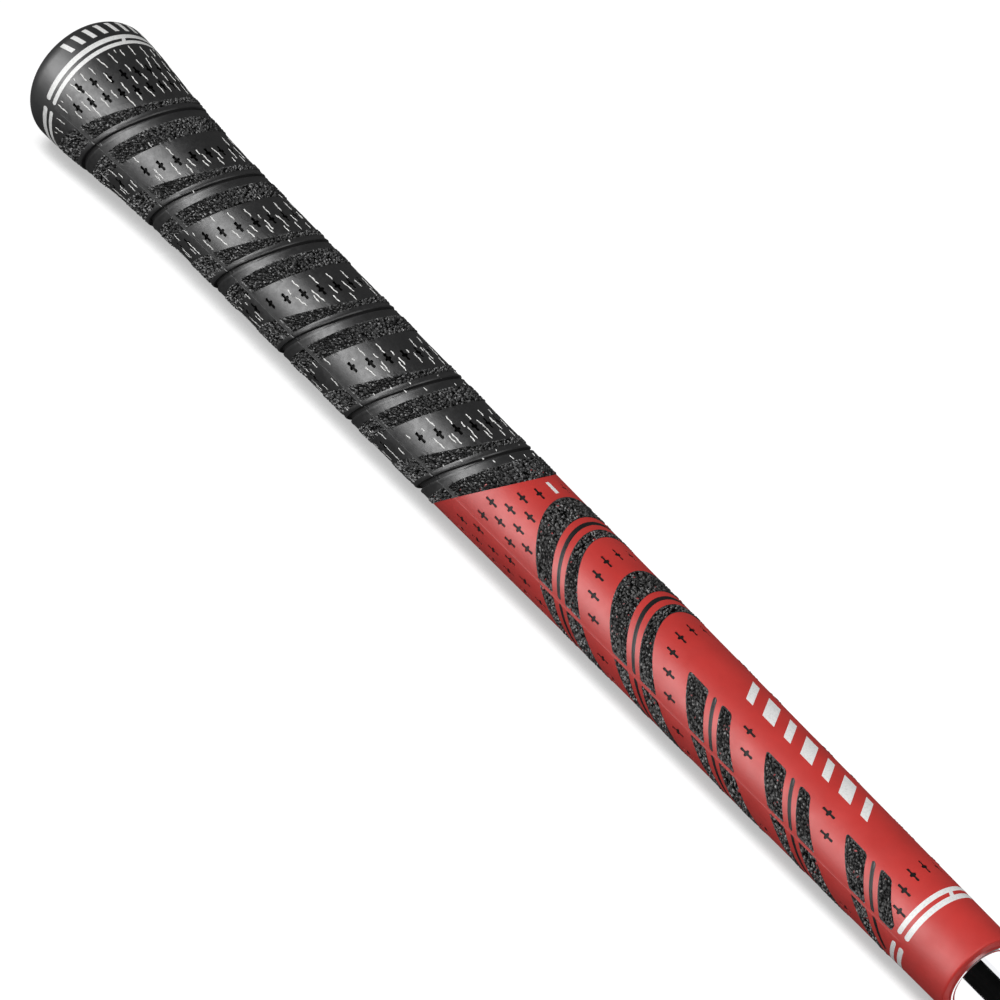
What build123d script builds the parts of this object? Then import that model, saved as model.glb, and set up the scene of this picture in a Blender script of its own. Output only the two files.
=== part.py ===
"""Golf grip: a two-compound rubber sleeve, half corded, fitted on the butt of a steel shaft.

The sleeve lies along +X, from the butt cap at x = 0 to the mouth at x = grip_length. +Z is the front
centre line, which faces up at address, and the mould's parting line lies in the plane z = 0. Its pattern
is made of straight cuts seen from the side, so a band that runs round the sleeve lies between two
tilted planes: x = side + rise * z / radius. Lengths are in millimetres.
"""

from build123d import *
import os
from math import cos, pi, radians, sin

# Sleeve
grip_length = 273.0
cap_radius = 13.9
cap_corner = 4.5
cap_length = 10.7
flare_end = 60.0
flare_radius = 10.9
mouth_radius = 8.2
rim_rounding = 0.4
# Outline of the flare between the cap's corner and the straight taper, as (distance, radius)
flare_middle = [(15.0, 13.25), (30.0, 11.95)]

# Shaft and tape
stub_length = 30.0
butt_radius = 7.62
neck_radius = 6.55
stub_radius = 6.35
shaft_wall = 0.5
# The shaft's first step, from neck to stub, stands just outside the mouth
neck_length = 0.5
tape_thickness = 0.2
tape_stop = 3.0
tape_end = grip_length - tape_stop
tape_seam = 1.0

# Cap
end_wall = 3.5
vent_radius = 2.0
spigot_radius = 10.6
spigot_end = 17.0

# Depths of what is let into the rubber
groove_depth = 0.5
inlay_depth = 0.9
paint_depth = 0.25
mark_depth = 0.4
cord_depth = 0.35

# Joint between the corded black rubber and the red rubber: where it meets the side, and its rise
joint_side = 138.4
joint_rise = 9.3

# Grooves round the corded rubber
groove_count = 6
groove_side = 24.1
groove_pitch = 21.68
groove_rise = 7.2
groove_width = 0.8

# Inlay sets in the red rubber. Each band is two edges, each edge (offset from the set, rise).
set_count = 5
first_set = 163.4
set_pitch = 21.3
wide_band = [(0.0, 9.8), (4.1, 8.0)]
rib_band = [(5.5, 8.1), (6.5, 8.1)]
narrow_band = [(7.7, 8.0), (12.3, 10.4)]
inlay_limit = 259.0
parting_gap = 0.35
# The last three sets stop short of the front centre, to leave room for the motif
fin_start = 194.0
fin_opening = 5.75

# Painted marks
ring_edges_cap = [(7.7, 8.9), (9.7, 10.65)]
ring_edges_mouth = [(259.9, 260.9), (261.7, 262.8)]
ring_gap_front = 0.6
ring_gap_back = 1.1
tie_width = 0.9
alignment_start = 149.1
alignment_length = 3.2
alignment_width = 0.95
motif_start = 206.0
motif_end = 242.0
motif_bars = 7
motif_height = 4.6
motif_slant = 1.6
# Shares of the bars' pitch that the wide and the narrow bars take
motif_shares = (0.36, 0.62)
cap_motif_x = 4.9
cap_motif_height = 3.2
cap_motif_bars = 9
cap_motif_step = 11.0
cap_bar_width = 1.0
cap_bar_lean = 0.8

# Small cross marks in the red rubber: a long bar along the grip, and a short tie across it
cross_length = 3.1
cross_width = 0.4
tie_length = 1.2
tie_breadth = 0.5
mark_limit = 257.5
# Their rows between the inlay sets. The rows beside the motif stay clear of the front centre.
cross_spacing = 3.05
cross_side = 179.9
cross_rise = 9.8
rows_beside_motif = (2, 3)
motif_clear = 32.0
row_seam_clear = 9.0
# Their staggered columns in the wedge beside the joint
column_step = 9.0
wedge_start = 145.7
wedge_pitch = 8.0
joint_clear = 3.0
inlay_clear = 2.6
wedge_seam_clear = 5.0

# Cord strands in the black rubber: two staggered rows on each panel
strand_length = 3.4
strand_width = 0.32
strand_spacing = 6.0
strand_offset = 2.6
strand_stagger = 0.6
strand_seam_clear = 6.0

# How far the cutting sketches reach past the surface, and how far a tie runs into its rings
reach = 20.0
cutter_reach = 1.15
mark_reach = 1.5
tie_overlap = 0.05
# Rows of wedge crosses tried on each side of the first, and the precision of radius_at
wedge_rows = 4
precision = 1e-5
taper = (flare_radius - mouth_radius) / (grip_length - flare_end)


def flare_line(depth):
    """The flare's outline, from the cap's corner to the straight taper, depth below the surface."""
    stations = [(cap_corner, cap_radius), *flare_middle, (flare_end, flare_radius)]
    return Spline(*[(x, r - depth) for x, r in stations], tangents=[(1, 0), (1, -taper)])


def strip(depth):
    """Half section of the outer skin of the sleeve, from the cap's end face to the mouth."""
    corner = (cap_corner, cap_radius - cap_corner)
    with BuildSketch() as section:
        with BuildLine():
            outside = flare_line(0)
            inside = flare_line(depth)
            CenterArc(corner, cap_corner, 90, 90)
            CenterArc(corner, cap_corner - depth, 90, 90)
            Line((0, corner[1]), (depth, corner[1]))
            mouth = (grip_length, mouth_radius)
            mouth_below = (grip_length, mouth_radius - depth)
            Polyline(outside @ 1, mouth, mouth_below, inside @ 1)
        make_face()
    return section.sketch


profile = flare_line(0)


def radius_at(x):
    """Outside radius of the sleeve at a distance x from the butt."""
    if x >= flare_end:
        return mouth_radius + taper * (grip_length - x)
    low, high = 0.0, 1.0
    while high - low > precision:
        middle = (low + high) / 2
        if (profile @ middle).X < x:
            low = middle
        else:
            high = middle
    return (profile @ low).Y


def shaft_radius(x):
    """Outside radius of the tapered part of the shaft."""
    return butt_radius + (neck_radius - butt_radius) * (x - end_wall) / (grip_length - end_wall)


def surface_plane(x, angle):
    """Plane touching the sleeve at x, turned by angle degrees from the front towards -Y."""
    out = (0, -sin(radians(angle)), cos(radians(angle)))
    r = radius_at(x)
    return Plane(origin=(x, out[1] * r, out[2] * r), x_dir=(1, 0, 0), z_dir=out)


def edge_x(edge, at, height):
    """Where a tilted edge lies at a height above the parting plane, for the local radius."""
    offset, rise = edge
    start = at + offset
    return start - rise * height / radius_at(min(start, grip_length))


def bands(edges, starts, side):
    """Side view of tilted bands on the front (side = 1) or the back (side = -1) of the sleeve."""
    left, right = edges
    near = side * parting_gap
    with BuildSketch(Plane.XZ) as view:
        for at in starts:
            far = side * cutter_reach * radius_at(at)
            Polygon(
                (edge_x(left, at, near), near),
                (edge_x(right, at, near), near),
                (edge_x(right, at, far), far),
                (edge_x(left, at, far), far),
                align=None,
            )
    return view.sketch


def rings(edges, side):
    """Side view of straight rings on the front or the back, short of the parting line."""
    gap = ring_gap_front if side > 0 else ring_gap_back
    with BuildSketch(Plane.XZ) as view:
        for start, end in edges:
            with Locations(((start + end) / 2, side * (gap + reach) / 2)):
                Rectangle(end - start, reach - gap)
    return view.sketch


def between_rings(edges):
    """Top view of the short tie that joins two rings at the front centre."""
    with BuildSketch() as view:
        with Locations(((edges[0][1] + edges[1][0]) / 2, 0)):
            Rectangle(edges[1][0] - edges[0][1] + 2 * tie_overlap, tie_width)
    return view.sketch


def clear_of_seam(angle, clearance):
    """Whether an angle is at least clearance degrees from the parting line."""
    return abs(abs(angle) - 90) > clearance


def cross_row(x_side, front_clear):
    """Places of a row of cross marks that follows a tilted line round the sleeve."""
    step = cross_spacing / radius_at(x_side) * 180 / pi
    count = int(180 / step)
    places = []
    for index in range(-count, count + 1):
        angle = index * step
        x = x_side - cross_rise * cos(radians(angle))
        if clear_of_seam(angle, row_seam_clear) and abs(angle) >= front_clear and x < mark_limit:
            places.append((x, angle))
    return places


def wedge_crosses():
    """Cross marks of the red wedge between the joint and the first inlay."""
    places = []
    columns = int(180 / column_step)
    for column in range(-columns, columns + 1):
        angle = column * column_step
        across = cos(radians(angle))
        low = joint_side + joint_rise * across + joint_clear
        high = first_set - wide_band[0][1] * across - inlay_clear
        shift = 0 if column % 2 else wedge_pitch / 2
        for row in range(-wedge_rows, wedge_rows + 1):
            x = wedge_start + wedge_pitch * row + shift
            if low < x < high and clear_of_seam(angle, wedge_seam_clear):
                places.append((x, angle))
    return places


def strand_places():
    """Places of the cord strands over the smooth panels of the corded rubber."""
    places = []
    for section in range(groove_count + 1):
        middle = groove_side + groove_pitch * (section - 0.5)
        step = strand_spacing / radius_at(max(middle, cap_length)) * 180 / pi
        count = int(180 / step)
        for index in range(-count, count + 1):
            angle = index * step
            across = cos(radians(angle))
            for row in (-1, 1):
                x = middle + groove_rise * across + row * (strand_offset + strand_stagger * (index % 3))
                joint = joint_side + joint_rise * across
                inside = cap_length + strand_length < x < joint - strand_length
                if inside and clear_of_seam(angle, strand_seam_clear):
                    places.append((x, angle))
    return places


set_starts = [first_set + set_pitch * index for index in range(set_count)]
groove_starts = [groove_side + groove_pitch * index for index in range(groove_count)]
all_crosses = wedge_crosses()
for row_index in range(set_count):
    clear = motif_clear if row_index in rows_beside_motif else 0
    all_crosses += cross_row(cross_side + set_pitch * row_index, clear)
all_strands = strand_places()


def is_front(place):
    """Whether a place on the sleeve lies on the front half."""
    return abs(place[1]) < 90


def is_back(place):
    """Whether a place on the sleeve lies on the back half."""
    return abs(place[1]) > 90


os.makedirs("parts", exist_ok=True)


def finish(builder, name):
    """Names a finished piece and writes its file."""
    builder.part.label = name
    export_step(builder.part, f"parts/{name}.step")


# --- What is let into the surface --------------------------------------------------------------

skin = {}
for depth in (groove_depth, inlay_depth, paint_depth, mark_depth, cord_depth):
    with BuildPart() as layer:
        revolve(strip(depth), axis=Axis.X)
    skin[depth] = layer.part

inlays = {"front": [], "back": []}
for name, edges in (("wide", wide_band), ("rib", rib_band), ("narrow", narrow_band)):
    for side_name, side in (("front", 1), ("back", -1)):
        starts = set_starts
        if name == "narrow" and side < 0:
            starts = set_starts[:-1]
        with BuildPart() as inlay:
            extrude(bands(edges, starts, side), amount=reach, both=True)
            split(bisect_by=Plane.YZ.offset(inlay_limit), keep=Keep.BOTTOM)
            if side > 0:
                with Locations((fin_start + grip_length / 2, 0, 0)):
                    Box(grip_length, 2 * fin_opening, 2 * reach, mode=Mode.SUBTRACT)
            add(skin[inlay_depth], mode=Mode.INTERSECT)
        finish(inlay, f"{name}_inlays_{side_name}")
        inlays[side_name].append(inlay.part)

ring_paint = {}
for name, edges in (("cap", ring_edges_cap), ("mouth", ring_edges_mouth)):
    for side_name, side in (("front", 1), ("back", -1)):
        with BuildPart() as ring:
            extrude(rings(edges, side), amount=reach, both=True)
            if side > 0:
                extrude(between_rings(edges), amount=reach)
            add(skin[paint_depth], mode=Mode.INTERSECT)
        finish(ring, f"{name}_ring_paint_{side_name}")
        ring_paint[name, side_name] = ring.part

with BuildPart() as alignment_mark:
    with BuildSketch():
        with Locations((alignment_start + alignment_length / 2, 0)):
            RectangleRounded(alignment_length, alignment_width, alignment_width / 3)
    extrude(amount=reach)
    add(skin[paint_depth], mode=Mode.INTERSECT)
finish(alignment_mark, "alignment_mark")

with BuildPart() as front_motif:
    pitch = (motif_end - motif_start) / motif_bars
    with BuildSketch():
        for index in range(motif_bars):
            with Locations((motif_start + pitch * (index + 0.5), 0)):
                width = pitch * motif_shares[index % 2]
                half = (width / 2, motif_height / 2)
                Polygon(
                    (-half[0] - motif_slant, -half[1]),
                    (half[0] - motif_slant, -half[1]),
                    (half[0] + motif_slant, half[1]),
                    (-half[0] + motif_slant, half[1]),
                    align=None,
                )
    extrude(amount=reach)
    add(skin[paint_depth], mode=Mode.INTERSECT)
finish(front_motif, "front_motif_paint")

with BuildPart() as cap_motif:
    places = [cap_motif_step * (index - (cap_motif_bars - 1) / 2) for index in range(cap_motif_bars)]
    with BuildSketch(*[surface_plane(cap_motif_x, angle) for angle in places]):
        end = cap_motif_height / 2
        outer = (cap_bar_width + cap_bar_lean) / 2
        inner = (cap_bar_width - cap_bar_lean) / 2
        Polygon((-end, -outer), (end, -inner), (end, outer), (-end, inner), align=None)
    extrude(amount=mark_reach, both=True)
    add(skin[paint_depth], mode=Mode.INTERSECT)
finish(cap_motif, "cap_motif_paint")

crosses = {}
strands = {}
for side_name, chosen in (("front", is_front), ("back", is_back)):
    with BuildPart() as cross_fill:
        with BuildSketch(*[surface_plane(*place) for place in all_crosses if chosen(place)]):
            Rectangle(cross_length, cross_width)
            Rectangle(tie_breadth, tie_length)
        extrude(amount=mark_reach, both=True)
        add(skin[mark_depth], mode=Mode.INTERSECT)
    finish(cross_fill, f"cross_marks_{side_name}")
    crosses[side_name] = cross_fill.part
    with BuildPart() as cord:
        with BuildSketch(*[surface_plane(*place) for place in all_strands if chosen(place)]):
            Rectangle(strand_length, strand_width)
        extrude(amount=mark_reach, both=True)
        add(skin[cord_depth], mode=Mode.INTERSECT)
    finish(cord, f"cord_strands_{side_name}")
    strands[side_name] = cord.part

# --- Rubber ------------------------------------------------------------------------------------

with BuildPart() as grooves:
    with BuildSketch(Plane.XZ):
        for at in groove_starts:
            lean = groove_rise / radius_at(at) * reach
            half = groove_width / 2
            Polygon(
                (at - half + lean, -reach),
                (at + half + lean, -reach),
                (at + half - lean, reach),
                (at - half - lean, reach),
                align=None,
            )
    extrude(amount=reach, both=True)
    add(skin[groove_depth], mode=Mode.INTERSECT)

joint_normal = (radius_at(joint_side), 0, -joint_rise)
joint_plane = Plane(origin=(joint_side, 0, 0), x_dir=(0, 1, 0), z_dir=joint_normal)

with BuildPart() as sleeve:
    with BuildSketch():
        with BuildLine():
            flare = flare_line(0)
            Line((cap_corner, cap_radius), (cap_corner, 0))
            Polyline((cap_corner, 0), (grip_length, 0), (grip_length, mouth_radius), flare @ 1)
        make_face()
    revolve(axis=Axis.X)
    mouth_rim = faces().sort_by(Axis.X)[-1].edges()
    fillet(mouth_rim, rim_rounding)
    with BuildSketch():
        with BuildLine():
            bore_start = butt_radius + tape_thickness
            bore_end = shaft_radius(tape_end) + tape_thickness
            Polyline(
                (0, 0),
                (0, bore_start),
                (end_wall, bore_start),
                (tape_end, bore_end),
                (tape_end, shaft_radius(tape_end)),
                (grip_length, neck_radius),
                (grip_length, 0),
                close=True,
            )
        make_face()
    revolve(axis=Axis.X, mode=Mode.SUBTRACT)

for side_name, keep in (("front", Keep.TOP), ("back", Keep.BOTTOM)):
    with BuildPart() as upper:
        add(sleeve.part)
        split(bisect_by=Plane.XY, keep=keep)
        split(bisect_by=joint_plane, keep=Keep.BOTTOM)
        split(bisect_by=Plane.YZ.offset(cap_length), keep=Keep.TOP)
        with Locations(Plane.YZ):
            Cylinder(spigot_radius, 2 * spigot_end, mode=Mode.SUBTRACT)
        add(grooves.part, mode=Mode.SUBTRACT)
        add(strands[side_name], mode=Mode.SUBTRACT)
    finish(upper, f"upper_panel_{side_name}")
    with BuildPart() as lower:
        add(sleeve.part)
        split(bisect_by=Plane.XY, keep=keep)
        split(bisect_by=joint_plane, keep=Keep.TOP)
        add(inlays[side_name], mode=Mode.SUBTRACT)
        add(ring_paint["mouth", side_name], mode=Mode.SUBTRACT)
        add(crosses[side_name], mode=Mode.SUBTRACT)
        if side_name == "front":
            add(alignment_mark.part, mode=Mode.SUBTRACT)
            add(front_motif.part, mode=Mode.SUBTRACT)
    finish(lower, f"lower_panel_{side_name}")

with BuildPart() as butt_cap:
    with BuildSketch():
        with BuildLine():
            flare = flare_line(0)
            CenterArc((cap_corner, cap_radius - cap_corner), cap_corner, 90, 90)
            Polyline((0, cap_radius - cap_corner), (0, 0), (flare_end, 0), flare @ 1)
        make_face()
    revolve(axis=Axis.X)
    split(bisect_by=Plane.YZ.offset(spigot_end), keep=Keep.BOTTOM)
    with BuildSketch():
        with Locations((cap_length, spigot_radius)):
            Rectangle(reach, reach, align=Align.MIN)
    revolve(axis=Axis.X, mode=Mode.SUBTRACT)
    with BuildSketch():
        with BuildLine():
            Polyline(
                (0, 0),
                (0, vent_radius),
                (end_wall, vent_radius),
                (end_wall, bore_start),
                (tape_end, bore_end),
                (tape_end, 0),
                close=True,
            )
        make_face()
    revolve(axis=Axis.X, mode=Mode.SUBTRACT)
    add(ring_paint["cap", "front"], mode=Mode.SUBTRACT)
    add(ring_paint["cap", "back"], mode=Mode.SUBTRACT)
    add(cap_motif.part, mode=Mode.SUBTRACT)
finish(butt_cap, "butt_cap")

# --- Shaft and tape ----------------------------------------------------------------------------

with BuildPart() as grip_tape:
    with BuildSketch():
        with BuildLine():
            Polyline(
                (end_wall, butt_radius),
                (end_wall, butt_radius + tape_thickness),
                (tape_end, shaft_radius(tape_end) + tape_thickness),
                (tape_end, shaft_radius(tape_end)),
                close=True,
            )
        make_face()
    revolve(axis=Axis.X)
    Box(grip_length, tape_seam, reach, align=(Align.MIN, Align.CENTER, Align.MAX), mode=Mode.SUBTRACT)
finish(grip_tape, "grip_tape")

with BuildPart() as shaft_butt:
    with BuildSketch():
        with BuildLine():
            step = grip_length + neck_length
            end = grip_length + stub_length
            Polyline(
                (end_wall, butt_radius),
                (grip_length, neck_radius),
                (step, neck_radius),
                (step, stub_radius),
                (end, stub_radius),
                (end, stub_radius - shaft_wall),
                (step, stub_radius - shaft_wall),
                (step, neck_radius - shaft_wall),
                (grip_length, neck_radius - shaft_wall),
                (end_wall, butt_radius - shaft_wall),
                close=True,
            )
        make_face()
    revolve(axis=Axis.X)
finish(shaft_butt, "shaft_butt")
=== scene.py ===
"""Looks of the golf grip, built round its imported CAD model.

The grip lies along +X, from the butt cap to the mouth. +Z is the front centre line, and the mould's parting
line lies in the plane z = 0. Shapes are worked out in millimetres on the unrolled sleeve, as a distance x
from the butt and an angle in degrees from the front centre line towards -Y, and are placed in metres.
"""

from math import cos, pi, radians, sin

import bpy
import numpy as np
from mathutils import Matrix, Vector, noise


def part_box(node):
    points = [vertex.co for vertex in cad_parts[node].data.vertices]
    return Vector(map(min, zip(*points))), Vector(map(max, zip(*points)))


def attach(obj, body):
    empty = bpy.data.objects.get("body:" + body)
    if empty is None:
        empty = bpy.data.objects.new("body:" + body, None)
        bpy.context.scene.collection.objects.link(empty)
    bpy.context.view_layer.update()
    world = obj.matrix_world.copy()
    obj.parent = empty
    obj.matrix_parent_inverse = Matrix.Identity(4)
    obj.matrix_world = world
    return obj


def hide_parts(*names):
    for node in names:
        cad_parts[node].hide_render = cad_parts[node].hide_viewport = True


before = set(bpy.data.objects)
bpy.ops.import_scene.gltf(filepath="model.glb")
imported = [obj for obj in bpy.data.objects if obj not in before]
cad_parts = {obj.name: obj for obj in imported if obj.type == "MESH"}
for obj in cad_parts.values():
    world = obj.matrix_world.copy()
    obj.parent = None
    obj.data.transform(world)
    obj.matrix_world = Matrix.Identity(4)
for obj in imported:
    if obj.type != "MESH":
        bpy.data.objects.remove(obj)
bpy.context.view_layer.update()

MM = 0.001
RNG = np.random.default_rng(7)
# Spacing of the points in the pebbled grain, mm
FINE = 0.18
SHARP_EDGE = radians(35)

# --- Sizes, mm --------------------------------------------

GRIP_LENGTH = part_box("lower_panel_front")[1].x / MM
CAP_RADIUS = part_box("butt_cap")[1].y / MM
CAP_CORNER = 4.5
CAP_LENGTH = 10.7
FLARE = [(CAP_CORNER, CAP_RADIUS), (15.0, 13.25), (30.0, 11.95), (60.0, 10.9)]
MOUTH_RADIUS = 8.2
TAPER = (FLARE[-1][1] - MOUTH_RADIUS) / (GRIP_LENGTH - FLARE[-1][0])
RIM_ROUNDING = 0.4
BORE_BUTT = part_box("grip_tape")[1].y / MM
BORE_MOUTH = 6.56
BUTT_RADIUS = 7.62
NECK_RADIUS = 6.55
STUB_RADIUS = 6.35
SHAFT_WALL = 0.5
SHAFT_START = 4.0
SHAFT_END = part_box("shaft_butt")[1].x / MM
STEP_BEYOND_MOUTH = 0.5
VENT_RADIUS = 2.0
END_WALL = 3.5
SPIGOT_RADIUS = 10.6
SPIGOT_END = 17.0

# Tilted edges are (side, rise): they lie at x = side + rise * cos(angle).
JOINT = (138.4, 9.3)
GROOVES = 6
GROOVE_PITCH = 21.68
GROOVE = (24.1, 7.2)
LEFT_BAND = ((17.7, 10.0), (22.4, 7.0))
RIGHT_BAND = ((26.8, 6.8), (31.1, 7.4))
# Across a groove: (distance from its middle, height). It widens towards the parting line.
GROOVE_SECTION = [(-1.25, 0.0), (-0.95, 0.1), (-0.65, 0.17), (-0.4, 0.05), (-0.3, -0.6), (0.22, -0.65),
                  (0.36, 0.0), (0.55, 0.07), (0.8, 0.0)]
GROOVE_WIDENING = 0.6

SETS = 5
SET_PITCH = 21.3
WIDE = ((163.4, -9.8), (167.5, -8.0))
RIB = ((168.9, -8.1), (169.9, -8.1))
NARROW = ((171.1, -8.0), (175.7, -10.4))
# The sleeve's radius near the middle of the inlays
INLAY_RADIUS = 9
FIN_SETS = (2, 3, 4)
FIN_OPENING = 5.75
FIN_CORNER = 0.55
SEAM_CORNER = 0.25
INLAY_LIMIT = 259.0
PARTING_FRONT = 87.2
PARTING_BACK = 91.2

CAP_RINGS = ((7.7, 8.9), (9.7, 10.65))
MOUTH_RINGS = ((259.9, 260.9), (261.7, 262.8))
RING_ENDS = {"cap": (87.5, 94.5), "mouth": (83.0, 96.0)}
TIE_WIDTH = 0.9
MARK_SPACING = 3.0
MARK_LINE = (34.9, 9.7)

# Depth of the cross marks' pockets and pits
PIT = 0.42
# Heights over the sleeve's surface: the floors of what is let into it, and the top of what cuts the pockets
INLAY_FLOOR = -0.8
POCKET_FLOOR = -0.9
CUTTER_TOP = 0.6
PAINT_FLOOR = -0.2

# Height of the pebbled grain, and the size of one pebble
GRAIN_CELL = 0.62
GRAIN_HIGH = 0.2
GRAIN_LOW = -0.24
INLAY_HIGH = 0.1


def clamped_spline(points, start_slope, end_slope):
    """Cubic curve through the points with the given slopes at its ends, as a function of x."""
    xs, ys = np.array(points, float).T
    step = np.diff(xs)
    rise = np.diff(ys) / step
    count = len(xs)
    system = np.zeros((count, count))
    right = np.zeros(count)
    system[0, 0] = system[-1, -1] = 1
    right[0], right[-1] = start_slope, end_slope
    for i in range(1, count - 1):
        system[i, i - 1] = step[i]
        system[i, i] = 2 * (step[i - 1] + step[i])
        system[i, i + 1] = step[i - 1]
        right[i] = 3 * (step[i] * rise[i - 1] + step[i - 1] * rise[i])
    slopes = np.linalg.solve(system, right)

    def value(x):
        i = np.clip(np.searchsorted(xs, x) - 1, 0, count - 2)
        h = step[i]
        t = (x - xs[i]) / h
        return ((2 * t**3 - 3 * t**2 + 1) * ys[i] + (t**3 - 2 * t**2 + t) * h * slopes[i]
                + (3 * t**2 - 2 * t**3) * ys[i + 1] + (t**3 - t**2) * h * slopes[i + 1])

    return value


flare = clamped_spline(FLARE, 0.0, -TAPER)


def radius(x):
    """Outside radius of the sleeve at distances x from the butt, with the cap's rounded corner."""
    x = np.asarray(x, float)
    corner = CAP_RADIUS - CAP_CORNER + np.sqrt(np.clip(CAP_CORNER**2 - (CAP_CORNER - x) ** 2, 0, None))
    straight = MOUTH_RADIUS + TAPER * (GRIP_LENGTH - x)
    return np.where(x < CAP_CORNER, corner, np.where(x < FLARE[-1][0], flare(x), straight))


def around(x, r, turn):
    """Points in metres at distance x and radius r, turned by an angle in radians."""
    x, r, turn = np.broadcast_arrays(x, r, turn)
    return np.stack([x, -r * np.sin(turn), r * np.cos(turn)], -1) * MM


def place(x, angle, out=0.0):
    """Points in metres at distance x and angle, out millimetres above the sleeve's surface."""
    return around(x, radius(x) + out, np.radians(angle))


def edge(tilted, angle, shift=0.0):
    """Where a tilted edge lies at an angle. A groove's edge also has its distance from its middle."""
    x = tilted[0] + shift + tilted[1] * np.cos(np.radians(angle))
    if len(tilted) == 3:
        x = x + tilted[2] * (1 + GROOVE_WIDENING * smooth(45, 86, from_front(np.asarray(angle))))
    return x


def smooth(low, high, value):
    """0 below low, 1 above high, and a smooth step between them."""
    t = np.clip((value - low) / (high - low), 0, 1)
    return t * t * (3 - 2 * t)


# --- Meshes -----------------------------------------------


class Builder:
    """Collects closed shapes into one mesh, with a relief and a tint value at each point."""

    def __init__(self):
        self.points, self.faces, self.relief, self.tint = [], [], [], []
        self.count = 0

    def add(self, points, faces, relief=0.0, tint=0.0):
        points = np.asarray(points, float).reshape(-1, 3)
        self.points.append(points)
        self.relief.append(np.broadcast_to(np.asarray(relief, float).ravel(), len(points)))
        self.tint.append(np.broadcast_to(np.asarray(tint, float).ravel(), len(points)))
        self.faces.extend([[i + self.count for i in face] for face in faces])
        self.count += len(points)

    def add_grid(self, top, low, relief=0.0, tint=0.0):
        """Adds a closed shape: a grid of points, and lower points under its first and last columns."""
        rows, cols = top.shape[:2]
        grid = np.arange(rows * cols).reshape(rows, cols)
        left = np.arange(rows) + rows * cols
        rims = np.zeros(2 * rows)
        values = [np.concatenate([np.broadcast_to(v, (rows, cols)).ravel(), rims]) for v in (relief, tint)]
        faces = quads(grid) + walls(grid, left, left + rows)
        self.add(np.concatenate([top.reshape(-1, 3), *low]), faces, *values)

    def block(self, top, bottom_out, surface, relief=0.0, tint=0.0):
        """A closed block under a grid of points. Its floor, at a height, joins the grid's outer columns.

        surface holds the grid's x and angle.
        """
        x, angle = surface
        low = [place(x[:, column], angle[:, column], bottom_out) for column in (0, -1)]
        self.add_grid(top, low, relief, tint)

    def mesh(self, name):
        mesh = bpy.data.meshes.new(name)
        points = np.concatenate(self.points)
        mesh.from_pydata(points.tolist(), [], [[int(i) for i in face] for face in self.faces])
        for label, parts in (("relief", self.relief), ("tint", self.tint)):
            layer = mesh.attributes.new(label, "FLOAT", "POINT")
            layer.data.foreach_set("value", np.concatenate(parts).astype(np.float32))
        mesh.validate()
        mesh.update()
        return mesh


def walls(grid, left, right):
    """Faces that close a grid with a floor between its first and last columns, and with flat sides."""
    faces = []
    for i in range(len(grid) - 1):
        faces.append([left[i], left[i + 1], right[i + 1], right[i]])
        faces.append([grid[i, 0], grid[i + 1, 0], left[i + 1], left[i]])
        faces.append([grid[i, -1], right[i], right[i + 1], grid[i + 1, -1]])
    faces.append([*grid[0, ::-1], left[0], right[0]])
    faces.append([*grid[-1], right[-1], left[-1]])
    return faces


def quads(grid):
    """Faces of a grid of point numbers, whose outside is seen with rows running from -Y to +Y."""
    a, b = grid[:-1, :-1].ravel(), grid[:-1, 1:].ravel()
    c, d = grid[1:, 1:].ravel(), grid[1:, :-1].ravel()
    return np.stack([a, b, c, d], -1).tolist()


def add_object(name, data):
    """Makes an object of a mesh, a light or a camera, in the scene."""
    obj = bpy.data.objects.new(name, data)
    bpy.context.scene.collection.objects.link(obj)
    return obj


def piece(name, mesh, made, node):
    """Shows a mesh in place of a CAD node: smooth, with sharp edges, its material and its ride."""
    obj = add_object(name, mesh)
    mesh.polygons.foreach_set("use_smooth", [True] * len(mesh.polygons))
    mesh.set_sharp_from_angle(angle=SHARP_EDGE)
    mesh.materials.clear()
    mesh.materials.append(made.material)
    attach(obj, "root")
    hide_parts(node)
    return obj


def cut(mesh, cutter_mesh):
    """The first mesh less the second."""
    body, tool = add_object("body", mesh), add_object("tool", cutter_mesh)
    step = body.modifiers.new("cut", "BOOLEAN")
    step.operation = "DIFFERENCE"
    step.solver = "MANIFOLD"
    step.object = tool
    graph = bpy.context.evaluated_depsgraph_get()
    result = bpy.data.meshes.new_from_object(body.evaluated_get(graph))
    for obj in (body, tool):
        bpy.data.objects.remove(obj)
    return result


# --- Relief -----------------------------------------------


def pebble(points, seed):
    """Pebbled grain at points in metres: its height, and a number for each pebble, both from 0 to 1."""
    flat = (points.reshape(-1, 3) / (GRAIN_CELL * MM)).tolist()
    height = np.empty(len(flat))
    chance = np.empty(len(flat))
    for i, p in enumerate(flat):
        bend = noise.noise_vector((p[0] * 0.8 + seed, p[1] * 0.8, p[2] * 0.8)) * 0.4
        near, cells = noise.voronoi((p[0] + bend[0], p[1] + bend[1] + seed, p[2] + bend[2]))
        height[i] = near[1] - near[0]
        chance[i] = (sin(cells[0][0] * 12.9 + cells[0][1] * 78.2 + cells[0][2] * 37.7) * 43758.5) % 1.0
    return smooth(0.02, 0.42, height).reshape(points.shape[:-1]), chance.reshape(points.shape[:-1])


def seam_fade(angle):
    """0 on the smooth strip along the parting line, 1 away from it."""
    turn = from_front(angle)
    front = smooth(PARTING_FRONT - 0.2, PARTING_FRONT - 1.6, turn)
    return front + smooth(PARTING_BACK, PARTING_BACK + 1.4, turn)


# --- Cross marks and cord flecks --------------------------


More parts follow.
